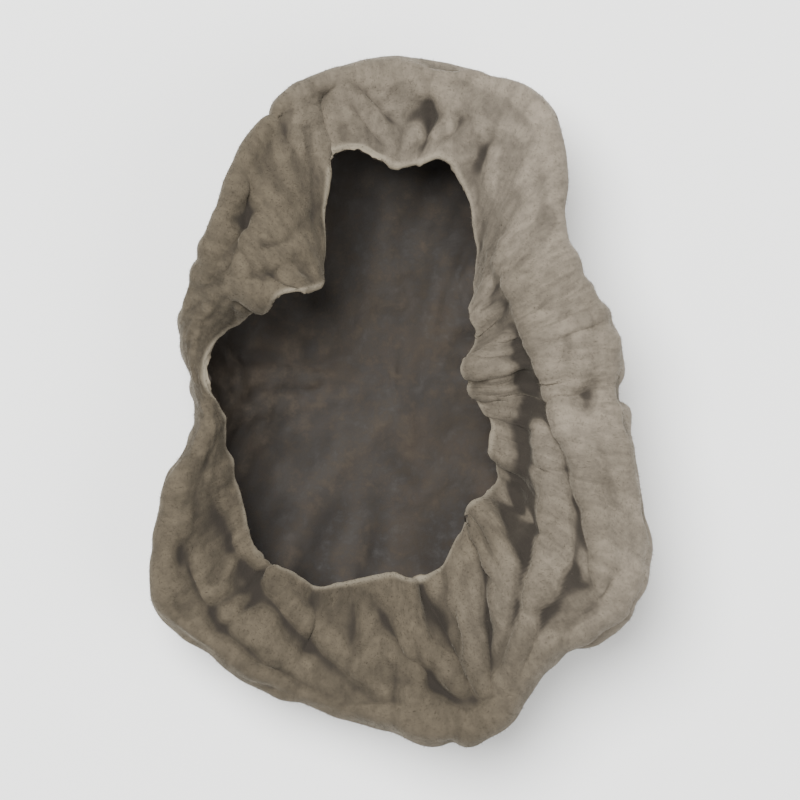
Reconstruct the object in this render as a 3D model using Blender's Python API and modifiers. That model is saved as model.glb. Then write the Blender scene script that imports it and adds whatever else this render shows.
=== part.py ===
"""Dried wood ear, a jelly fungus: one cupped ear that rests on the flat cut at its back.

The ear is a single leathery sheet. Its felted back is outside and its dark inner face is inside
the cup, and the margin has rolled inwards as it dried. The sheet is drawn as ribs, which run from
the middle of the cup to the margin and follow one another round it. Sizes are in millimetres
until the sheet's points are placed.
"""

import math

import bmesh
import bpy
from mathutils import Vector

MM = 0.001
SHEET_THICKNESS = 1.1
CAGE_FACES = 20
SMOOTH_LEVELS = 1

# Ribs at equal turns, anticlockwise from +X: (reach of the wall, height of the crest,
# how far the margin rolls back in, how far the margin then rises above the crest).
RIBS = (
    (12.0, 8.2, 7.6, -1.4), (11.5, 8.9, 7.0, -1.8), (11.4, 8.8, 6.4, -1.2), (12.9, 7.8, 6.6, -0.6),
    (16.2, 6.8, 7.2, -0.4), (17.2, 5.6, 4.8, 0.8), (17.6, 5.4, 5.8, 2.2), (16.6, 6.6, 4.4, 0.2),
    (14.6, 8.0, 7.2, 0.2), (13.2, 8.6, 6.6, 0.8), (12.2, 8.0, 4.0, 0.4), (11.4, 6.6, 1.8, -0.6),
    (10.8, 6.4, 0.9, 1.0), (11.6, 6.8, 2.0, -0.4), (13.8, 6.0, 4.0, -0.6), (17.0, 5.6, 6.0, -0.2),
    (18.0, 5.8, 6.0, -0.8), (18.2, 5.4, 6.8, 0.2), (17.8, 6.4, 7.8, 0.9), (19.3, 6.8, 9.4, 0.6),
    (17.4, 8.2, 9.4, -1.0), (17.2, 9.0, 9.6, -2.2), (15.2, 8.4, 9.0, -2.0), (13.6, 8.9, 8.8, -2.4),
)

# A rib's profile from the middle to the margin: (share of reach, share of height,
# share of roll, share of rise).
PROFILE = (
    (0.00, 0.00, 0.00, 0.0), (0.30, 0.00, 0.00, 0.0), (0.56, 0.06, 0.00, 0.0),
    (0.80, 0.25, 0.00, 0.0), (0.95, 0.58, 0.00, 0.0), (1.00, 0.84, 0.00, 0.0),
    (1.00, 1.00, 0.12, 0.0), (1.00, 1.05, 0.38, 0.1), (1.00, 1.00, 0.70, 0.5),
    (1.00, 0.90, 1.00, 1.0),
)

# The wall buckles in and out, and the margin ripples up and down: how far, and how many
# waves go round the ear.
BUCKLE_DEPTH = 0.55
BUCKLE_WAVES = 7
RIPPLE_HEIGHT = 0.45
RIPPLE_WAVES = 11


def clear_scene():
    """Remove whatever the empty file starts with."""
    for item in list(bpy.data.objects):
        bpy.data.objects.remove(item, do_unlink=True)


def curve_through(values, place, closed):
    """Value of a smooth curve that passes through all the values, at a place counted in them."""
    count = len(values)
    i = math.floor(place) if closed else min(int(place), count - 2)
    f = place - i
    picks = range(i - 1, i + 3)
    around = [values[k % count] if closed else values[min(max(k, 0), count - 1)] for k in picks]
    p0, p1, p2, p3 = (Vector(value) for value in around)
    bend = 2 * p0 - 5 * p1 + 4 * p2 - p3
    return 0.5 * (2 * p1 + (p2 - p0) * f + bend * f**2 + (3 * (p1 - p2) + p3 - p0) * f**3)


def sheet_point(turn, share):
    """Point of the sheet at a turn (radians) and a share (0 to 1) of the way to the margin."""
    reach, height, roll, rise = curve_through(RIBS, turn / math.tau * len(RIBS), True)
    out, up, back, lift = curve_through(PROFILE, share * (len(PROFILE) - 1), False)
    buckle = BUCKLE_DEPTH * math.sin(BUCKLE_WAVES * turn) * up * (1 - 0.6 * back)
    distance = reach * out - roll * back + buckle
    ripple = RIPPLE_HEIGHT * math.sin(RIPPLE_WAVES * turn) * back**2
    level = height * up + rise * lift + ripple
    return Vector((distance * math.cos(turn), distance * math.sin(turn), level))


def make_sheet():
    """A flat square grid, whose square rings become the rings of the cup."""
    mesh = bpy.data.meshes.new("ear")
    bm = bmesh.new()
    bmesh.ops.create_grid(bm, x_segments=CAGE_FACES, y_segments=CAGE_FACES, size=1.0)
    for vert in bm.verts:
        x, y = vert.co.x, vert.co.y
        share = min(max(abs(x), abs(y)), 1.0)
        if share == 0:
            turn = 0.0
        elif abs(x) >= abs(y):
            turn = math.pi / 4 * y / x + (math.pi if x < 0 else 0.0)
        else:
            turn = math.pi / 2 - math.pi / 4 * x / y + (math.pi if y < 0 else 0.0)
        vert.co = sheet_point(turn % math.tau, share) * MM
    bm.to_mesh(mesh)
    bm.free()
    return bpy.data.objects.new("ear", mesh)


def add_thickness(ear):
    """Give the sheet its thickness, then round it and its rim."""
    solid = ear.modifiers.new("thickness", "SOLIDIFY")
    solid.thickness = SHEET_THICKNESS * MM
    solid.offset = 0.0
    smooth = ear.modifiers.new("smooth", "SUBSURF")
    smooth.levels = SMOOTH_LEVELS
    smooth.render_levels = SMOOTH_LEVELS


def add_material(ear):
    """Grey-brown felt of the ear's back."""
    material = bpy.data.materials.new("felted_back")
    material.use_nodes = True
    shader = material.node_tree.nodes["Principled BSDF"]
    shader.inputs["Base Color"].default_value = (0.17, 0.145, 0.11, 1.0)
    shader.inputs["Roughness"].default_value = 0.85
    ear.data.materials.append(material)


def place_on_floor(ear):
    """Move the ear so that the origin is at the middle of its base."""
    bpy.context.view_layer.update()
    shaped = ear.evaluated_get(bpy.context.evaluated_depsgraph_get())
    points = [vert.co for vert in shaped.to_mesh().vertices]
    low = Vector(map(min, zip(*points)))
    high = Vector(map(max, zip(*points)))
    shaped.to_mesh_clear()
    ear.location = (-(low.x + high.x) / 2, -(low.y + high.y) / 2, -low.z)


def main():
    """Build the ear."""
    clear_scene()
    collection = bpy.data.collections.new("dried_wood_ear")
    bpy.context.scene.collection.children.link(collection)
    ear = make_sheet()
    collection.objects.link(ear)
    add_thickness(ear)
    add_material(ear)
    place_on_floor(ear)


main()
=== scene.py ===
"""Dried wood ear: one cupped fruit body, resting on the flat cut at its back.

The ear is a leathery sheet. Its back is grey-brown felt and its inner face is a smooth dark skin.
The margin has rolled inwards as it dried, so the felt shows as a band round the dark hollow.
Lengths are in millimetres until a mesh is written.
"""

import logging
import math
from dataclasses import dataclass, field
from enum import Enum, IntEnum
from typing import Any

import bpy
import numpy as np
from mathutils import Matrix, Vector, noise

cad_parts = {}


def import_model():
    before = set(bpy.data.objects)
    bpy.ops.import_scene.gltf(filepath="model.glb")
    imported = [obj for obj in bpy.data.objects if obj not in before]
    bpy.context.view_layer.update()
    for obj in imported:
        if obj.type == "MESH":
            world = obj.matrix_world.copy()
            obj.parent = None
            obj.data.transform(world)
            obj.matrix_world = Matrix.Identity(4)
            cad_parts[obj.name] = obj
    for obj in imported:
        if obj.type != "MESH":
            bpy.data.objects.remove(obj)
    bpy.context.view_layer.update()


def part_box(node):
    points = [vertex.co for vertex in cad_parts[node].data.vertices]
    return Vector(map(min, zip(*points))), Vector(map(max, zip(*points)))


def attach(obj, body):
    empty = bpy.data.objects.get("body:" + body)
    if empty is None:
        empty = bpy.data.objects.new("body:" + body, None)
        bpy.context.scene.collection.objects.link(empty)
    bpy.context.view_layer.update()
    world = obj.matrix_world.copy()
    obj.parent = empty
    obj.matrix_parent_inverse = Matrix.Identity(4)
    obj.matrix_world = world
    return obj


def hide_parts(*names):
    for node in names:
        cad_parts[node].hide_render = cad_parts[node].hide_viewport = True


log = logging.getLogger("wood_ear")

MM = 0.001
NOISE, RAMP, MIX = "ShaderNodeTexNoise", "ShaderNodeMapRange", "ShaderNodeMix"
ATTRIBUTE, BUMP = "ShaderNodeAttribute", "ShaderNodeBump"
EASED = {"interpolation_type": "SMOOTHSTEP"}
COLOURS = {"data_type": "RGBA"}
RIDGED = {"noise_type": "RIDGED_MULTIFRACTAL"}


class Side(IntEnum):
    """Material slots of the ear's mesh."""

    FACE = 0
    BACK = 1
    RIM = 2


class Crease(Enum):
    """How a fold line changes the sheet across it."""

    VALLEY = "valley"
    RIDGE = "ridge"
    LEDGE = "ledge"


# ---------------------------------------------------------------- small tools


def linear(hex_colour: str, alpha: float = 1.0) -> tuple[float, float, float, float]:
    """Turn an sRGB hex colour into linear light.

    Args:
        hex_colour: Six hex digits, red first.
        alpha: Opacity to append.

    Returns:
        Red, green, blue and alpha.
    """
    values = []
    for start in (0, 2, 4):
        share = int(hex_colour[start : start + 2], 16) / 255
        values.append(share / 12.92 if share <= 0.04045 else ((share + 0.055) / 1.055) ** 2.4)
    return (values[0], values[1], values[2], alpha)


def per_metre(wavelength_mm: float) -> float:
    """Scale of a texture whose features are this many millimetres apart."""
    return 1.0 / (wavelength_mm * MM)


def smoothstep(values: np.ndarray, low: float, high: float) -> np.ndarray:
    """Ease from 0 at low to 1 at high."""
    share = np.clip((values - low) / (high - low), 0.0, 1.0)
    return share * share * (3.0 - 2.0 * share)


def noise_at(points: np.ndarray, wavelength: float, octaves: int, seed: float) -> np.ndarray:
    """Fractal noise at each point.

    Args:
        points: Array of shape (..., 3), in millimetres.
        wavelength: Size of the largest lumps, in millimetres.
        octaves: Number of layers, each half the size of the last.
        seed: Shift that gives a different pattern.

    Returns:
        Values from about -1 to 1, of shape (...).
    """
    flat = points.reshape(-1, 3) / wavelength + seed
    values = [noise.fractal(Vector(p), 1.0, 2.0, octaves) for p in flat]
    return np.array(values).reshape(points.shape[:-1])


def blurred(grid: np.ndarray, passes: int) -> np.ndarray:
    """Average each value of a grid with its neighbours.

    Args:
        grid: Values of shape (columns, rows) or (columns, rows, n).
        passes: How many times to do it.

    Returns:
        The softer grid.
    """
    for _ in range(passes):
        for axis in (0, 1):
            first = np.take(grid, [0], axis=axis)
            last = np.take(grid, [-1], axis=axis)
            wide = np.concatenate([first, grid, last], axis=axis)
            count = grid.shape[axis]
            near = [np.take(wide, range(start, start + count), axis=axis) for start in (0, 1, 2)]
            grid = 0.25 * near[0] + 0.5 * near[1] + 0.25 * near[2]
    return grid


def add_node(
    tree: bpy.types.NodeTree,
    kind: str,
    settings: dict[str, Any] | None = None,
    inputs: dict[str | int, Any] | None = None,
) -> bpy.types.Node:
    """Add one node with its settings, and fill or link its sockets.

    Args:
        tree: Node tree to add it to.
        kind: Blender's name of the node type.
        settings: Values of the node's own properties.
        inputs: A value or an output socket for each named or numbered input.

    Returns:
        The new node.
    """
    node = tree.nodes.new(kind)
    for name, value in (settings or {}).items():
        setattr(node, name, value)
    for name, value in (inputs or {}).items():
        if isinstance(value, bpy.types.NodeSocket):
            tree.links.new(value, node.inputs[name])
        else:
            node.inputs[name].default_value = value
    return node


def new_material(name: str) -> tuple[bpy.types.Material, bpy.types.Node]:
    """Make a node material.

    Args:
        name: Name of the material.

    Returns:
        The material and its Principled shader.
    """
    material = bpy.data.materials.new(name)
    material.use_nodes = True
    return material, material.node_tree.nodes["Principled BSDF"]


# ------------------------------------------------------------------- finishes


@dataclass(frozen=True)
class FungusFelt:
    """Dried felt of the ear's back: short matted hairs, so it is matt and soft at grazing light."""

    olive: str = "3c362c"
    mauve: str = "5c554b"
    brown: str = "2f261d"
    # Colour of the painted shade in the folds.
    deep: str = "1e1a16"
    # Paler colour of the painted highlight along the margin's last half millimetre.
    margin: str = "7d7566"
    cut: str = "857763"
    glint: str = "cfc6b4"
    fibre: float = 0.09
    grain: float = 0.40
    cloud: float = 3.6
    drift: float = 9.0
    streak: float = 0.30
    wrinkle: float = 1.5

    def ground(self, tree: bpy.types.NodeTree, place: bpy.types.NodeSocket) -> bpy.types.NodeSocket:
        """Colour of the felt, which is olive at one side of the ear and greyer at the other.

        Args:
            tree: Node tree of the material.
            place: Where the colour is wanted.

        Returns:
            The colour.
        """
        across = add_node(tree, "ShaderNodeVectorMath", {"operation": "DOT_PRODUCT"}, {
            0: place, 1: (1.0, 0.35, 0.0)})
        drift = add_node(tree, NOISE, None, {
            "Vector": place, "Scale": per_metre(self.drift), "Detail": 2.0, "Roughness": 0.5})
        uneven = add_node(tree, "ShaderNodeMath", {"operation": "MULTIPLY_ADD"}, {
            0: drift.outputs["Fac"], 1: 16.0 * MM, 2: across.outputs["Value"]})
        greyed = add_node(tree, RAMP, EASED, {
            0: uneven.outputs[0], 1: 5.0 * MM, 2: 22.0 * MM, 3: 0.0, 4: 1.0})
        return add_node(tree, MIX, COLOURS, {
            0: greyed.outputs[0], 6: linear(self.olive), 7: linear(self.mauve)}).outputs[2]

    def build(self) -> bpy.types.Material:
        """Make the felt.

        Returns:
            The material.
        """
        material, shader = new_material("dried_fungus_felt")
        tree = material.node_tree
        place = add_node(tree, "ShaderNodeTexCoord").outputs["Object"]
        # Fine streaks of matted hair run from the cut to the margin.
        runs = add_node(tree, ATTRIBUTE, {"attribute_name": "runs"}).outputs["Vector"]
        hollow, share, edge = (
            add_node(tree, ATTRIBUTE, {"attribute_name": name}).outputs["Fac"]
            for name in ("hollow", "share", "edge"))
        cloud, grain, fibre, streak = (
            add_node(tree, NOISE, None, {
                "Vector": spots, "Scale": per_metre(size), "Detail": detail,
                "Roughness": roughness}).outputs["Fac"]
            for spots, size, detail, roughness in (
                (place, self.cloud, 5.0, 0.6), (place, self.grain, 4.0, 0.7),
                (place, self.fibre, 2.0, 0.6), (runs, self.streak, 3.0, 0.6)))
        wrinkle = add_node(tree, NOISE, RIDGED, {
            "Vector": runs, "Scale": per_metre(self.wrinkle), "Detail": 3.0}).outputs["Fac"]

        # Paler clouds of hair, specks and streaks lie over the ground, and ridges are painted paler
        # the sharper they are, as painted light.
        tone = self.ground(tree, place)
        for source, start, end, low, high in (
                (cloud, 0.34, 0.70, 0.86, 1.12), (grain, 0.36, 0.70, 1.05, 0.84),
                (streak, 0.34, 0.68, 1.10, 0.82), (hollow, 0.46, 0.12, 1.0, 1.45)):
            factor = add_node(tree, RAMP, EASED, {0: source, 1: start, 2: end, 3: low, 4: high})
            tone = add_node(tree, "ShaderNodeVectorMath", {"operation": "SCALE"}, {
                "Vector": tone, "Scale": factor.outputs[0]}).outputs[0]
        # In turn: the hair is thin and browner towards the cut, the cut is bare and pale, folds are
        # darkened as painted shade, and the last half millimetre before the margin is paler, a
        # painted highlight.
        for source, start, end, amount, colour in (
                (share, 0.45, 0.08, 0.7, self.brown), (share, 0.155, 0.135, 0.9, self.cut),
                (hollow, 0.53, 0.94, 0.88, self.deep), (edge, 0.7, 0.1, 0.7, self.margin)):
            factor = add_node(tree, RAMP, EASED, {0: source, 1: start, 2: end, 3: 0.0, 4: amount})
            tone = add_node(tree, MIX, COLOURS, {
                0: factor.outputs[0], 6: tone, 7: linear(colour)}).outputs[2]
        tree.links.new(tone, shader.inputs["Base Color"])

        normal = (0.0, 0.0, 0.0)
        for height, strength, depth in ((wrinkle, 0.7, 0.11), (streak, 0.6, 0.08),
                                        (grain, 0.8, 0.08), (fibre, 0.6, 0.03)):
            normal = add_node(tree, BUMP, None, {
                "Strength": strength, "Distance": depth * MM, "Height": height,
                "Normal": normal}).outputs["Normal"]
        tree.links.new(normal, shader.inputs["Normal"])
        shader.inputs["Roughness"].default_value = 0.92
        shader.inputs["Specular IOR Level"].default_value = 0.25
        shader.inputs["Sheen Weight"].default_value = 0.20
        shader.inputs["Sheen Roughness"].default_value = 0.45
        shader.inputs["Sheen Tint"].default_value = linear(self.glint)
        return material


@dataclass(frozen=True)
class JellySkin:
    """Dried gelatinous inner face, set like glue: near-black brown, with a dull satin surface."""

    ground: str = "27231f"
    amber: str = "312920"
    bloom: str = "3f3830"
    # Colour of the painted shade in the folds.
    deep: str = "14110f"
    mottle: float = 4.0
    grain: float = 0.8
    wrinkle: float = 0.9

    def build(self) -> bpy.types.Material:
        """Make the skin.

        Returns:
            The material.
        """
        material, shader = new_material("dried_jelly_skin")
        tree = material.node_tree
        place = add_node(tree, "ShaderNodeTexCoord").outputs["Object"]
        hollow = add_node(tree, ATTRIBUTE, {"attribute_name": "hollow"}).outputs["Fac"]
        mottle = add_node(tree, NOISE, None, {
            "Vector": place, "Scale": per_metre(self.mottle), "Detail": 4.0,
            "Roughness": 0.6}).outputs["Fac"]
        grain = add_node(tree, NOISE, None, {
            "Vector": place, "Scale": per_metre(self.grain), "Detail": 6.0,
            "Roughness": 0.7}).outputs["Fac"]
        wrinkle = add_node(tree, NOISE, RIDGED, {
            "Vector": place, "Scale": per_metre(self.wrinkle), "Detail": 3.0}).outputs["Fac"]

        # In turn: amber mottling, a thin bloom of dry spores in patches, and painted shade in the
        # folds.
        tone = linear(self.ground)
        for source, start, end, amount, colour in (
                (mottle, 0.42, 0.70, 0.6, self.amber), (grain, 0.42, 0.74, 0.7, self.bloom),
                (hollow, 0.55, 0.95, 0.6, self.deep)):
            factor = add_node(tree, RAMP, EASED, {0: source, 1: start, 2: end, 3: 0.0, 4: amount})
            tone = add_node(tree, MIX, COLOURS, {
                0: factor.outputs[0], 6: tone, 7: linear(colour)}).outputs[2]
        tree.links.new(tone, shader.inputs["Base Color"])
        dulled = add_node(tree, RAMP, EASED, {0: grain, 1: 0.3, 2: 0.8, 3: 0.58, 4: 0.88})
        tree.links.new(dulled.outputs[0], shader.inputs["Roughness"])

        # Fine wrinkles with sharp tops, and the grain between them.
        normal = (0.0, 0.0, 0.0)
        for height, depth in ((wrinkle, 0.07), (grain, 0.04)):
            normal = add_node(tree, BUMP, None, {
                "Strength": 0.6, "Distance": depth * MM, "Height": height,
                "Normal": normal}).outputs["Normal"]
        tree.links.new(normal, shader.inputs["Normal"])
        shader.inputs["IOR"].default_value = 1.45
        shader.inputs["Specular IOR Level"].default_value = 0.22
        return material


@dataclass(frozen=True)
class DownHair:
    """Dry hyaline hairs: as matt as the felt they stand on, and they soften its outline."""

    def build(self) -> bpy.types.Material:
        """Make the hair.

        Returns:
            The material.
        """
        material, shader = new_material("dried_fungus_down")
        tree = material.node_tree
        place = add_node(tree, "ShaderNodeTexCoord").outputs["Object"]
        tree.links.new(FungusFelt().ground(tree, place), shader.inputs["Base Color"])
        shader.inputs["Roughness"].default_value = 0.9
        shader.inputs["Specular IOR Level"].default_value = 0.2
        return material


@dataclass(frozen=True)
class RimHighlight:
    """Thin edge of the sheet, painted a little paler than the felt: a painted highlight where the
    edge catches the light.
    """

    colour: str = "766d5d"

    def build(self) -> bpy.types.Material:
        """Make the rim.

        Returns:
            The material.
        """
        material, shader = new_material("fungus_rim_painted_highlight")
        shader.inputs["Base Color"].default_value = linear(self.colour)
        shader.inputs["Roughness"].default_value = 0.8
        return material


@dataclass(frozen=True)
class StudioPaper:
    """Uncoated pale paper under the ear, so it is matt and shows only soft shadows."""

    colour: str = "f1f2f1"

    def build(self) -> bpy.types.Material:
        """Make the paper.

        Returns:
            The material.
        """
        material, shader = new_material("studio_paper")
        shader.inputs["Base Color"].default_value = linear(self.colour)
        shader.inputs["Roughness"].default_value = 0.9
        return material


# -------------------------------------------------------------------- the ear


@dataclass(frozen=True)
class Fold:
    """A line across the sheet, seen from above, along which it is creased."""

    path: tuple[tuple[float, float], ...]
    depth: float
    width: float
    kind: Crease = Crease.VALLEY
    shares: tuple[float, float] = (0.66, 1.1)

    def height(self, points: np.ndarray, share: np.ndarray) -> np.ndarray:
        """How far the fold lifts each point towards the felted side.

        Args:
            points: The sheet's points, of shape (..., 3).
            share: How far each point is on the way from the middle to the margin.

        Returns:
            Lift in millimetres, of shape (...).
        """
        flat = points[..., :2]
        best = np.full(flat.shape[:-1], np.inf)
        side = np.zeros_like(best)
        along = np.zeros_like(best)
        spans = len(self.path) - 1
        for i, (start, end) in enumerate(zip(self.path, self.path[1:])):
            a, b = np.array(start), np.array(end)
            run = b - a
            place = np.clip(((flat - a) @ run) / (run @ run), 0.0, 1.0)
            off = flat - (a + place[..., None] * run)
            distance = np.hypot(off[..., 0], off[..., 1])
            nearer = distance < best
            best = np.where(nearer, distance, best)
            side = np.where(nearer, np.sign(run[0] * off[..., 1] - run[1] * off[..., 0]), side)
            along = np.where(nearer, (i + place) / spans, along)
        taper = np.sin(math.pi * np.clip(along, 0.02, 0.98)) ** 0.7
        low, high = self.shares
        taper = taper * smoothstep(share, low - 0.04, low + 0.04)
        taper = taper * (1.0 - smoothstep(share, high - 0.04, high + 0.04))
        # A fold narrows on its way.
        width = self.width * (1.25 - 0.65 * along)
        if self.kind is Crease.LEDGE:
            step = np.tanh(best * side / 0.26) * np.exp(-best / width)
            return self.depth * step * taper
        hump = np.exp(-np.sqrt(best**2 + 0.012) / (0.8 * width))
        return self.depth * hump * taper * (1.0 if self.kind is Crease.RIDGE else -1.0)


# Ribs at equal turns, anticlockwise from +X: (reach of the wall, height of the crest,
# how far the margin rolls back in, how far the margin then rises above the crest).
RIBS: tuple[tuple[float, float, float, float], ...] = (
    (12.0, 8.2, 7.6, -1.4), (11.5, 8.9, 7.0, -1.8), (11.4, 8.8, 6.4, -1.2), (12.9, 7.8, 6.6, -0.6),
    (16.2, 6.8, 7.2, -0.4), (17.2, 5.6, 4.8, 0.8), (17.6, 5.4, 5.8, 2.2), (16.6, 6.6, 4.4, 0.2),
    (14.6, 8.0, 7.2, 0.2), (13.2, 8.6, 6.6, 0.8), (12.2, 8.0, 4.0, 0.4), (11.4, 6.6, 1.8, -0.6),
    (10.8, 6.4, 0.9, 1.0), (11.6, 6.8, 2.0, -0.4), (13.8, 6.0, 4.0, -0.6), (17.0, 5.6, 6.0, -0.2),
    (18.0, 5.8, 6.0, -0.8), (18.2, 5.4, 6.8, 0.2), (17.8, 6.4, 7.8, 0.9), (19.3, 6.8, 9.4, 0.6),
    (17.4, 8.2, 9.4, -1.0), (17.2, 9.0, 9.6, -2.2), (15.2, 8.4, 9.0, -2.0), (13.6, 8.9, 8.8, -2.4),
)

# A rib's profile from the middle to the margin: (share of reach, share of height,
# share of roll, share of rise).
PROFILE: tuple[tuple[float, float, float, float], ...] = (
    (0.00, 0.00, 0.00, 0.0), (0.30, 0.00, 0.00, 0.0), (0.56, 0.06, 0.00, 0.0),
    (0.80, 0.25, 0.00, 0.0), (0.95, 0.58, 0.00, 0.0), (1.00, 0.84, 0.00, 0.0),
    (1.00, 1.00, 0.12, 0.0), (1.00, 1.05, 0.38, 0.1), (1.00, 1.00, 0.70, 0.5),
    (1.00, 0.90, 1.00, 1.0),
)

FOLDS: tuple[Fold, ...] = (
    # The slit behind the wide margin's lip, and the lap where the upper band meets the pleats.
    Fold(((6.5, 3.6), (6.9, -0.8), (6.9, -4.6), (6.0, -9.0)), 1.00, 0.70),
    Fold(((5.2, 7.0), (7.8, 1.4), (9.6, -3.9), (11.0, -9.0), (10.6, -12.0)), 0.60, 2.0,
         Crease.LEDGE),
    # Pleats that run down the wide margin and meet at the pointed lip.
    Fold(((8.9, -1.8), (8.6, -6.2), (7.6, -11.0), (6.0, -17.2)), 0.66, 0.80, Crease.RIDGE),
    Fold(((7.8, -4.6), (7.1, -9.8), (5.7, -16.0)), 0.75, 0.55),
    Fold(((10.4, -6.0), (9.4, -10.4), (7.6, -14.2), (5.9, -17.2)), 0.60, 0.50),
    Fold(((12.0, -9.6), (10.2, -13.0), (7.4, -16.2)), 0.50, 0.45),
    Fold(((4.6, -8.0), (5.0, -12.4), (5.4, -17.2)), 0.85, 0.55),
    Fold(((3.0, -8.8), (3.9, -12.6), (5.1, -17.4)), 0.60, 0.60, Crease.RIDGE),
    Fold(((1.0, -9.6), (2.6, -13.0), (4.9, -17.6)), 0.90, 0.50),
    Fold(((-1.6, -11.2), (0.8, -14.6), (4.2, -17.8)), 0.60, 0.50),
    Fold(((-0.6, -9.8), (1.4, -13.4), (4.6, -17.6)), 0.40, 0.50, Crease.RIDGE),
    Fold(((11.6, 2.0), (12.2, -3.0), (12.4, -8.2)), 0.40, 0.50, Crease.RIDGE),
    Fold(((10.0, 4.8), (10.1, 1.0), (9.4, -1.4)), 0.36, 0.42, Crease.RIDGE),
    Fold(((9.0, 8.6), (9.8, 5.4), (10.8, 2.0)), 0.30, 0.45),
    # The lower left band: an inner lap and the crease that follows it.
    Fold(((-9.9, -5.6), (-8.0, -9.4), (-5.2, -13.0), (-1.2, -16.4)), 0.50, 1.5, Crease.LEDGE),
    Fold(((-12.2, -8.0), (-9.6, -13.2), (-5.0, -16.4)), 0.50, 0.50),
    Fold(((-6.6, -9.2), (-7.6, -11.8), (-9.4, -13.6)), 0.45, 0.45),
    Fold(((-4.6, -10.4), (-4.2, -13.2), (-5.6, -15.8)), 0.45, 0.45),
    # The upper left lobe: a broad shadowed trough and two fine wrinkles near its edge.
    Fold(((-10.6, 13.0), (-8.4, 11.8), (-7.8, 9.0), (-9.0, 5.4)), 1.00, 1.20),
    Fold(((-8.2, 6.6), (-5.9, 7.4), (-4.0, 9.6)), 0.26, 0.30),
    Fold(((-8.9, 5.2), (-6.6, 5.6), (-4.6, 7.0)), 0.24, 0.28),
    # The small pleated tongue at the broad end, and the tucks on either side of it.
    Fold(((-3.7, 16.6), (-3.8, 14.6), (-3.4, 11.6)), 1.10, 0.60),
    Fold(((2.0, 16.0), (2.1, 14.4), (1.4, 11.8)), 0.90, 0.55),
    Fold(((-2.4, 16.6), (-1.2, 15.2), (0.4, 13.6)), 0.50, 0.32),
    Fold(((-2.6, 15.2), (-1.5, 13.9), (-0.4, 12.6)), 0.46, 0.32),
)


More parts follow.
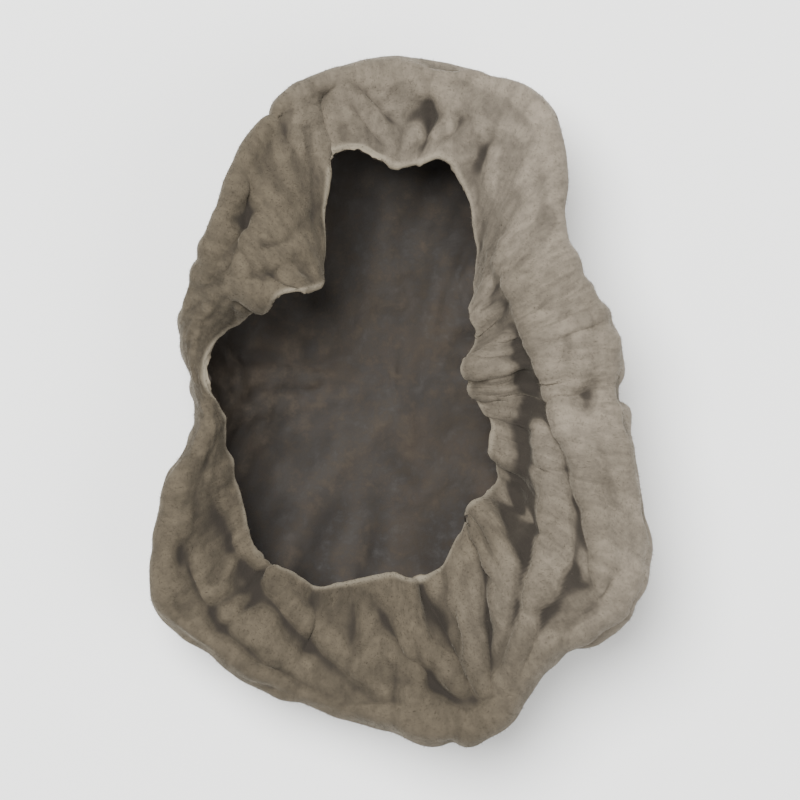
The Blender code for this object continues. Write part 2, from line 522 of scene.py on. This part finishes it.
@dataclass
class Ear:
    """The whole fruit body: one cupped sheet with a cut at its back and a margin rolled in."""

    faces: int = 216
    thickness: float = 0.62
    margin_thickness: float = 0.42
    rim_radius: float = 0.34
    buckle_depth: float = 0.55
    buckle_waves: int = 7
    ripple_height: float = 0.45
    ripple_waves: int = 11
    nibble_depth: float = 1.1
    stand_height: float = 1.1
    spread: float = 24.0
    crest_share: float = 0.645
    crest_height: float = 0.85
    dent_height: float = 0.50
    wave_height: float = 0.9
    wave_reach: float = 2.2
    fan_height: float = 0.20
    facet_height: float = 0.20
    pinch_gain: float = 1.2
    pinch_limit: float = 0.26
    gather_height: float = 0.13
    vein_height: float = 0.11
    vein_width: float = 0.22
    cut_share: float = 0.13
    small_fold_count: int = 120
    seed: int = 12
    turn: np.ndarray = field(init=False)
    share: np.ndarray = field(init=False)
    roll: np.ndarray = field(init=False)

    @staticmethod
    def curve_through(table: tuple, place: np.ndarray, closed: bool) -> np.ndarray:
        """Points of a smooth curve that passes through every row of a table.

        Args:
            table: Rows of numbers.
            place: Where to read the curve, counted in rows.
            closed: Whether the last row is followed by the first.

        Returns:
            One row for each place, in the last axis.
        """
        rows = np.array(table)
        count = len(rows)
        first = np.floor(place).astype(int)
        if not closed:
            first = np.clip(first, 0, count - 2)
        f = (place - first)[..., None]
        picks = [first + step for step in (-1, 0, 1, 2)]
        picks = [pick % count if closed else np.clip(pick, 0, count - 1) for pick in picks]
        p0, p1, p2, p3 = (rows[pick] for pick in picks)
        bend = 2 * p0 - 5 * p1 + 4 * p2 - p3
        return 0.5 * (2 * p1 + (p2 - p0) * f + bend * f**2 + (3 * (p1 - p2) + p3 - p0) * f**3)

    def add_grid(self) -> tuple[bpy.types.Object, np.ndarray]:
        """Add a flat square grid, whose square rings become the rings of the cup.

        Returns:
            The grid, and the number of the vertex at each column and row.
        """
        bpy.ops.object.select_all(action="DESELECT")
        bpy.ops.mesh.primitive_grid_add(
            x_subdivisions=self.faces, y_subdivisions=self.faces, size=2.0)
        grid = bpy.context.object
        grid.name = "wood_ear"
        grid.data.name = "wood_ear"
        flat = np.zeros(len(grid.data.vertices) * 3)
        grid.data.vertices.foreach_get("co", flat)
        places = np.rint((flat.reshape(-1, 3)[:, :2] + 1) / 2 * self.faces).astype(int)
        order = np.zeros((self.faces + 1, self.faces + 1), int)
        order[places[:, 0], places[:, 1]] = np.arange(len(places))
        return grid, order

    def lay_out(self) -> None:
        """Find the turn round the cup, and the share of the way out, of each grid point."""
        line = np.linspace(-1.0, 1.0, self.faces + 1)
        x, y = np.meshgrid(line, line, indexing="ij")
        self.share = np.maximum(np.abs(x), np.abs(y))
        wide = np.abs(x) >= np.abs(y)
        safe_x = np.where(np.abs(x) < 1e-9, 1e-9, x)
        safe_y = np.where(np.abs(y) < 1e-9, 1e-9, y)
        sideways = math.pi / 4 * y / safe_x + np.where(x < 0, math.pi, 0.0)
        upright = math.pi / 2 - math.pi / 4 * x / safe_y + np.where(y < 0, math.pi, 0.0)
        self.turn = np.where(wide, sideways, upright) % math.tau
        self.turn = np.where(self.share < 1e-9, 0.0, self.turn)

    def around(self, radius: float, along: float) -> np.ndarray:
        """Places for noise that runs round the cup without a seam.

        Args:
            radius: Half the width of the pattern, so a larger one gives more waves round the cup.
            along: How much the pattern changes on the way from the middle to the margin.

        Returns:
            Points of shape (..., 3).
        """
        return np.stack([np.cos(self.turn) * radius, np.sin(self.turn) * radius,
                         self.share * along], axis=-1)

    def smooth_sheet(self) -> np.ndarray:
        """Shape the cup before it is creased.

        Returns:
            The sheet's points, of shape (columns, rows, 3).
        """
        ribs = self.curve_through(RIBS, self.turn / math.tau * len(RIBS), True)
        profile = self.curve_through(PROFILE, self.share * (len(PROFILE) - 1), False)
        reach, height, roll, rise = np.moveaxis(ribs, -1, 0)
        out, up, back, lift = np.moveaxis(profile, -1, 0)
        # The margin is nibbled and torn unevenly, so it rolls in by more here and less there.
        nibble = noise_at(self.around(9.0, 0.0), 4.2, 3, 31.0)
        self.roll = np.maximum(
            roll + self.nibble_depth * nibble * smoothstep(roll, 0.8, 4.0), 0.8)
        buckle = self.buckle_depth * np.sin(self.buckle_waves * self.turn) * up * (1 - 0.6 * back)
        distance = reach * out - self.roll * back + buckle
        ripple = self.ripple_height * np.sin(self.ripple_waves * self.turn) * back**2
        # Where the margin hardly rolls it stands up instead of turning over.
        stand = 1.0 - smoothstep(self.roll, 0.8, 3.4)
        level = height * up + rise * lift + ripple + self.stand_height * stand * back
        return np.stack([distance * np.cos(self.turn), distance * np.sin(self.turn), level], -1)

    @staticmethod
    def normals(points: np.ndarray) -> np.ndarray:
        """Unit normals of a grid of points, on the side of the inner face.

        Args:
            points: Points of shape (columns, rows, 3).

        Returns:
            Normals of the same shape.
        """
        normal = np.cross(np.gradient(points, axis=0), np.gradient(points, axis=1))
        for i, j in ((0, 0), (0, -1), (-1, 0), (-1, -1)):
            normal[i, j] = normal[1 if i == 0 else -2, 1 if j == 0 else -2]
        return normal / np.linalg.norm(normal, axis=-1, keepdims=True)

    def margin_distance(self) -> np.ndarray:
        """Distance of each point to the margin, along the sheet, good near the margin."""
        return (1.0 - self.share) * (2.7 * self.roll + 4.0)

    def crease(self, points: np.ndarray) -> np.ndarray:
        """Fold, pleat and crumple the smooth sheet.

        Args:
            points: The smooth sheet's points.

        Returns:
            The creased sheet's points.
        """
        edge = self.margin_distance()
        sheet = self.flat_places()
        walled = smoothstep(self.share, 0.22, 0.45)

        # The sheet is bent sharply where it turns over, more in some places than in others.
        bent = 0.5 + 0.5 * noise_at(self.around(5.0, 0.0), 2.4, 1, 71.0)
        turned_over = smoothstep(self.roll, 1.5, 4.0)
        crest = np.exp(-np.sqrt((self.share - self.crest_share) ** 2 + 0.0001) / 0.05)
        lift = self.crest_height * np.clip(bent * 1.3, 0.2, 1.0) * crest * turned_over
        points = points - self.normals(points) * lift[..., None]
        # A margin that stands up is short, so it is creased less.
        calm = 1.0 - 0.8 * (1.0 - turned_over) * smoothstep(self.share, 0.50, 0.66)

        # Broad dents and bulges, as a soft sheet shrinks unevenly.
        lift = self.dent_height * noise_at(sheet, 8.0, 2, 5.0) * walled * calm
        points = points - self.normals(points) * lift[..., None]

        for fold in FOLDS:
            lift = fold.height(points, self.share) * calm
            points = points - self.normals(points) * lift[..., None]

        for fold in self.small_folds():
            lift = fold.height(sheet, self.share) * calm
            points = points - self.normals(points) * lift[..., None]
        inner = blurred(points, 1)
        inner[0, :], inner[-1, :] = points[0, :], points[-1, :]
        inner[:, 0], inner[:, -1] = points[:, 0], points[:, -1]
        points = inner

        # The margin waves as its edge shrinks less than the band behind it.
        wave = noise_at(self.around(9.0, 1.2), 2.6, 2, 11.0) * np.exp(-edge / self.wave_reach)
        points = points - self.normals(points) * (self.wave_height * wave * calm)[..., None]

        # Gathers fan out from the cut, and the band is bent into soft facets.
        fans = noise_at(self.around(4.2, 1.3), 0.70, 2, 23.0)
        fans = fans * smoothstep(self.share, 0.10, 0.22) * (1.0 - smoothstep(self.share, 0.5, 0.8))
        bends = noise_at(sheet, 4.6, 2, 17.0)
        facets = 0.5 - np.sqrt(bends**2 + 0.02) * 1.6
        lift = self.facet_height * facets * walled * calm + self.fan_height * fans
        return self.relaxed(points - self.normals(points) * lift[..., None])

    def relaxed(self, points: np.ndarray) -> np.ndarray:
        """Smooth a sheet only where it is bent so sharply that it would run through itself.

        Args:
            points: The sheet's points.

        Returns:
            The same points, moved where the bend was too sharp.
        """
        normal = self.normals(points)
        around = blurred(normal, 4)
        around /= np.linalg.norm(around, axis=-1, keepdims=True)
        agree = np.einsum("ijk,ijk->ij", normal, around)
        share = blurred(1.0 - smoothstep(agree, 0.15, 0.65), 3)
        share = (np.clip(1.5 * share, 0.0, 1.0) * (self.share < 0.985))[..., None]
        return points * (1.0 - share) + blurred(points, 10) * share

    def small_folds(self) -> list[Fold]:
        """Scatter short creases over the sheet.

        Returns:
            Folds whose paths are in the places of the flat sheet.
        """
        chance = np.random.default_rng(self.seed)
        folds = []
        for _ in range(self.small_fold_count):
            turn = chance.uniform(0.0, math.tau)
            out = math.sqrt(chance.uniform(0.10, 0.94)) * self.spread
            lean = turn + math.pi / 2 * chance.integers(0, 2) + chance.normal(0.0, 0.35)
            half = chance.uniform(1.2, 3.6)
            bow = chance.normal(0.0, 0.25) * half
            middle = np.array([math.cos(turn), math.sin(turn)]) * out
            run = np.array([math.cos(lean), math.sin(lean)])
            aside = np.array([-run[1], run[0]])
            path = (middle - half * run, middle + bow * aside, middle + half * run)
            kind = Crease.RIDGE if chance.random() < 0.45 else Crease.VALLEY
            folds.append(Fold(tuple(tuple(spot) for spot in path), chance.uniform(0.12, 0.36),
                              chance.uniform(0.34, 0.60), kind, (0.2, 1.1)))
        return folds

    def flat_places(self) -> np.ndarray:
        """Where each point lies on the sheet as if it were spread flat.

        Returns:
            Places of shape (columns, rows, 3), all at height 0.
        """
        out = self.share * self.spread
        return np.stack([np.cos(self.turn) * out, np.sin(self.turn) * out, np.zeros_like(out)],
                        axis=-1)

    def roughen_felt(self, points: np.ndarray) -> np.ndarray:
        """Add the fine wrinkles of the felted back to that side of the sheet.

        Args:
            points: Points of the felted side.

        Returns:
            The wrinkled points.
        """
        # Thickness has rounded the ridges of this side, and they are pinched again.
        normal = self.normals(points)
        ridge = -np.einsum("ijk,ijk->ij", points - blurred(points, 12), normal)
        pinch = self.pinch_gain * np.clip(ridge, 0.0, self.pinch_limit)
        pinch = pinch * smoothstep(self.margin_distance(), 0.2, 1.6)
        points = points - normal * pinch[..., None]

        rolled = smoothstep(self.share, 0.62, 0.78)
        lumps = noise_at(points, 1.7, 2, 2.0)
        across = noise_at(self.around(9.0, 1.6), 0.60, 2, 41.0)
        lengthways = noise_at(self.around(9.0, 30.0), 1.0, 2, 43.0)
        gathers = noise_at(self.around(5.0, 1.0), 0.80, 2, 47.0) * (1.0 - rolled)
        lift = (0.060 * lumps + 0.055 * across * rolled + 0.055 * lengthways * rolled
                + self.gather_height * gathers
                * smoothstep(self.share, self.cut_share, self.cut_share + 0.08))
        return points - self.normals(points) * lift[..., None]

    def roughen_face(self, points: np.ndarray) -> np.ndarray:
        """Add the low veins and dimples of the dark inner face to that side of the sheet.

        Args:
            points: Points of the inner side.

        Returns:
            The veined points.
        """
        veins = noise_at(self.flat_places(), 3.0, 3, 53.0)
        veins = np.clip(self.vein_width - np.abs(veins), 0.0, self.vein_width) / self.vein_width
        dimples = noise_at(points, 1.1, 3, 57.0)
        lift = self.vein_height * veins + 0.055 * dimples
        return points + self.normals(points) * lift[..., None]

    def hollows(self, points: np.ndarray, felted: bool) -> np.ndarray:
        """How deep in a fold each point of one side lies.

        Args:
            points: Points of the side.
            felted: Whether it is the felted side.

        Returns:
            0 on a sharp ridge, 0.5 where flat and 1 in a sharp valley.
        """
        outward = self.normals(points) * (-1.0 if felted else 1.0)
        total = np.zeros(points.shape[:2])
        points = blurred(points, 1)
        for reach in (2, 4, 8):
            padded = np.pad(points, ((reach, reach), (reach, reach), (0, 0)), mode="edge")
            middle = (padded[2 * reach :, reach:-reach] + padded[: -2 * reach, reach:-reach]
                      + padded[reach:-reach, 2 * reach :] + padded[reach:-reach, : -2 * reach]) / 4
            bend = np.einsum("ijk,ijk->ij", middle - points, outward)
            total = total + bend / (0.010 * reach**1.5)
        return 0.5 + 0.5 * np.tanh(blurred(total, 3) / 2.6)

    def build(self) -> bpy.types.Object:
        """Make the ear.

        Returns:
            The finished piece.
        """
        ear, order = self.add_grid()
        mesh = ear.data
        self.lay_out()
        points = self.crease(self.smooth_sheet())
        placed = np.zeros((len(mesh.vertices), 3))
        placed[order.ravel()] = points.reshape(-1, 3) * MM
        mesh.vertices.foreach_set("co", placed.ravel())

        edge = self.margin_distance()
        body = self.margin_thickness + (self.thickness - self.margin_thickness) * smoothstep(
            edge, 0.0, 6.0)
        rounding = np.sqrt(np.clip(1 - (1 - np.clip(edge / self.rim_radius, 0, 1)) ** 2, 0.03, 1))
        weights = body / self.thickness * rounding
        group = ear.vertex_groups.new(name="thickness")
        for index, weight in zip(order.ravel().tolist(), weights.ravel().tolist()):
            group.add([index], weight, "REPLACE")

        for finish in (JellySkin(), FungusFelt(), RimHighlight()):
            mesh.materials.append(finish.build())
        solid = ear.modifiers.new("thickness", "SOLIDIFY")
        solid.thickness = self.thickness * MM
        solid.offset = 0.0
        solid.vertex_group = group.name
        solid.material_offset = Side.BACK
        solid.material_offset_rim = Side.RIM
        bpy.ops.object.modifier_apply(modifier=solid.name)
        for face in mesh.polygons:
            face.use_smooth = True
        self.finish_sides(mesh, order)
        return ear

    def finish_sides(self, mesh: bpy.types.Mesh, order: np.ndarray) -> None:
        """Give each side of the thick sheet its own fine shape, and fit the ear to its box.

        Args:
            mesh: The ear's mesh, whose second half of vertices is the felted side.
            order: Number of the inner side's vertex at each column and row.
        """
        count = order.size
        flat = np.zeros(len(mesh.vertices) * 3)
        mesh.vertices.foreach_get("co", flat)
        spots = flat.reshape(-1, 3) / MM
        sides = {"face": order, "felt": order + count}
        fine = {"face": self.roughen_face, "felt": self.roughen_felt}
        values = {name: np.zeros(len(mesh.vertices)) for name in ("hollow", "edge", "share")}
        for side, numbers in sides.items():
            points = self.relaxed(fine[side](spots[numbers]))
            spots[numbers] = points
            values["hollow"][numbers] = self.hollows(points, side == "felt")
            values["edge"][numbers] = self.margin_distance()
            values["share"][numbers] = self.share
        for name, numbers in values.items():
            mesh.attributes.new(name, "FLOAT", "POINT").data.foreach_set("value", numbers)
        runs = np.zeros((len(mesh.vertices), 3))
        for numbers in sides.values():
            runs[numbers] = self.around(9.0, 5.0) * MM
        mesh.attributes.new("runs", "FLOAT_VECTOR", "POINT").data.foreach_set(
            "vector", runs.ravel())

        low, high = (np.array(corner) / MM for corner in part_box("ear"))
        size = spots.max(0) - spots.min(0)
        log.info("size before fitting %s mm, box %s mm", np.round(size, 2), np.round(high - low, 2))
        spots = (spots - spots.min(0)) / size * (high - low) + low
        mesh.vertices.foreach_set("co", (spots * MM).ravel())


@dataclass(frozen=True)
class Down:
    """Short matted hairs over the felted side, each a slim spike of mesh."""

    count: int = 48000
    length: float = 0.17
    width: float = 0.022
    lean: float = 1.2
    seed: int = 5

    def roots(self, ear: bpy.types.Object) -> tuple[np.ndarray, np.ndarray, np.ndarray]:
        """Choose where the hairs stand.

        Args:
            ear: The finished ear.

        Returns:
            Root places, the sheet's normals there and a direction along the sheet, in millimetres.
        """
        mesh = ear.data
        chance = np.random.default_rng(self.seed)
        faces = [face for face in mesh.polygons if face.material_index == Side.BACK]
        corners = np.array([face.vertices[:] for face in faces])
        area = np.array([face.area for face in faces])
        flat = np.zeros(len(mesh.vertices) * 3)
        mesh.vertices.foreach_get("co", flat)
        spots = flat.reshape(-1, 3) / MM
        values = {name: np.zeros(len(mesh.vertices)) for name in ("hollow", "share")}
        for name, numbers in values.items():
            mesh.attributes[name].data.foreach_get("value", numbers)
        # Hair is worn off inside the folds, and none stands on the cut.
        chances = area * (1.0 - smoothstep(values["hollow"][corners[:, 0]], 0.52, 0.75))
        chances = chances * (values["share"][corners[:, 0]] > 0.15)
        picked = chance.choice(len(faces), self.count, p=chances / chances.sum())
        quad = spots[corners[picked]]
        u, v = chance.random((2, self.count, 1))
        place = ((1 - u) * (1 - v) * quad[:, 0] + u * (1 - v) * quad[:, 1]
                 + u * v * quad[:, 2] + (1 - u) * v * quad[:, 3])
        normal = np.cross(quad[:, 2] - quad[:, 0], quad[:, 3] - quad[:, 1])
        normal /= np.linalg.norm(normal, axis=1, keepdims=True) + 1e-9
        return place, normal, chance.normal(size=(self.count, 3))

    def build(self, ear: bpy.types.Object) -> bpy.types.Object:
        """Make the down.

        Args:
            ear: The finished ear.

        Returns:
            The piece that holds every hair.
        """
        place, normal, stray = self.roots(ear)
        # Neighbouring hairs lie the same way, as matted hair does.
        swirl = np.stack([noise_at(place, 2.2, 1, shift) for shift in (3.0, 61.0, 97.0)], axis=-1)
        comb = swirl * 3.0 + stray * 0.35
        comb -= normal * np.einsum("ij,ij->i", comb, normal)[:, None]
        comb /= np.linalg.norm(comb, axis=1, keepdims=True) + 1e-9
        aside = np.cross(normal, comb)
        heading = normal + comb * self.lean
        heading /= np.linalg.norm(heading, axis=1, keepdims=True)
        uneven = np.random.default_rng(self.seed + 1).random(self.count)
        length = self.length * (0.55 + 0.9 * uneven)
        half = self.width / 2
        sunk = place - normal * 0.03
        spots = np.stack([sunk + aside * half, sunk - aside * half, sunk + comb * self.width,
                          sunk + heading * length[:, None]], axis=1).reshape(-1, 3)
        first = np.arange(self.count)[:, None] * 4
        faces = np.concatenate([first + np.array(corner) for corner in (
            (0, 1, 2), (1, 0, 3), (2, 1, 3), (0, 2, 3))])
        low, high = (np.array(corner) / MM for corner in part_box("ear"))
        spare = 0.02 * (high - low)
        spots = np.clip(spots, low - spare * np.array([1, 1, 0]), high + spare)
        mesh = bpy.data.meshes.new("wood_ear_down")
        mesh.from_pydata((spots * MM).tolist(), [], faces.tolist())
        mesh.materials.append(DownHair().build())
        down = bpy.data.objects.new("wood_ear_down", mesh)
        bpy.context.scene.collection.objects.link(down)
        return down


# ------------------------------------------------------------------ the studio


@dataclass
class Studio:
    """Pale paper, soft lights and a camera that looks straight down."""

    view_height: float = 42.0
    lens: float = 135.0
    sensor: float = 36.0

    def add_light(self, name: str, place: tuple[float, float, float], size: float,
                  power: float) -> None:
        """Add a soft light that points at the ear.

        Args:
            name: Name of the light.
            place: Where it is, in metres.
            size: Width of the light, in metres.
            power: Power, in watts.
        """
        light = bpy.data.lights.new(name, "AREA")
        light.shape = "DISK"
        light.size = size
        light.energy = power
        lamp = bpy.data.objects.new(name, light)
        lamp.location = place
        lamp.rotation_euler = (-Vector(place)).to_track_quat("-Z", "Y").to_euler()
        bpy.context.scene.collection.objects.link(lamp)

    def build(self) -> None:
        """Make the floor, the lights and the camera."""
        bpy.ops.object.select_all(action="DESELECT")
        bpy.ops.mesh.primitive_plane_add(size=2.0)
        floor = bpy.context.object
        floor.name = "paper"
        floor.data.materials.append(StudioPaper().build())
        self.add_light("key", (-0.10, 0.12, 0.38), 0.26, 4.2)
        self.add_light("fill", (0.28, -0.12, 0.32), 0.30, 0.9)
        world = bpy.data.worlds.new("studio")
        world.use_nodes = True
        world.node_tree.nodes["Background"].inputs["Color"].default_value = linear("f5f4f2")
        world.node_tree.nodes["Background"].inputs["Strength"].default_value = 0.79
        bpy.context.scene.world = world

        camera = bpy.data.cameras.new("camera")
        camera.lens = self.lens
        camera.sensor_width = self.sensor
        camera.clip_start = MM
        eye = bpy.data.objects.new("camera", camera)
        eye.location = (0.0, 0.0, self.view_height * MM * self.lens / self.sensor + 0.005)
        bpy.context.scene.collection.objects.link(eye)
        bpy.context.scene.camera = eye


def main() -> None:
    """Build the ear and the studio."""
    logging.basicConfig(level=logging.INFO)
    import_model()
    ear = Ear().build()
    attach(ear, "root")
    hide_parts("ear")
    down = Down().build(ear)
    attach(down, "root")
    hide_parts("ear")
    for piece in (ear, down):
        log.info("%s: %d faces", piece.name, len(piece.data.polygons))
    Studio().build()


if __name__ == "__main__":
    main()
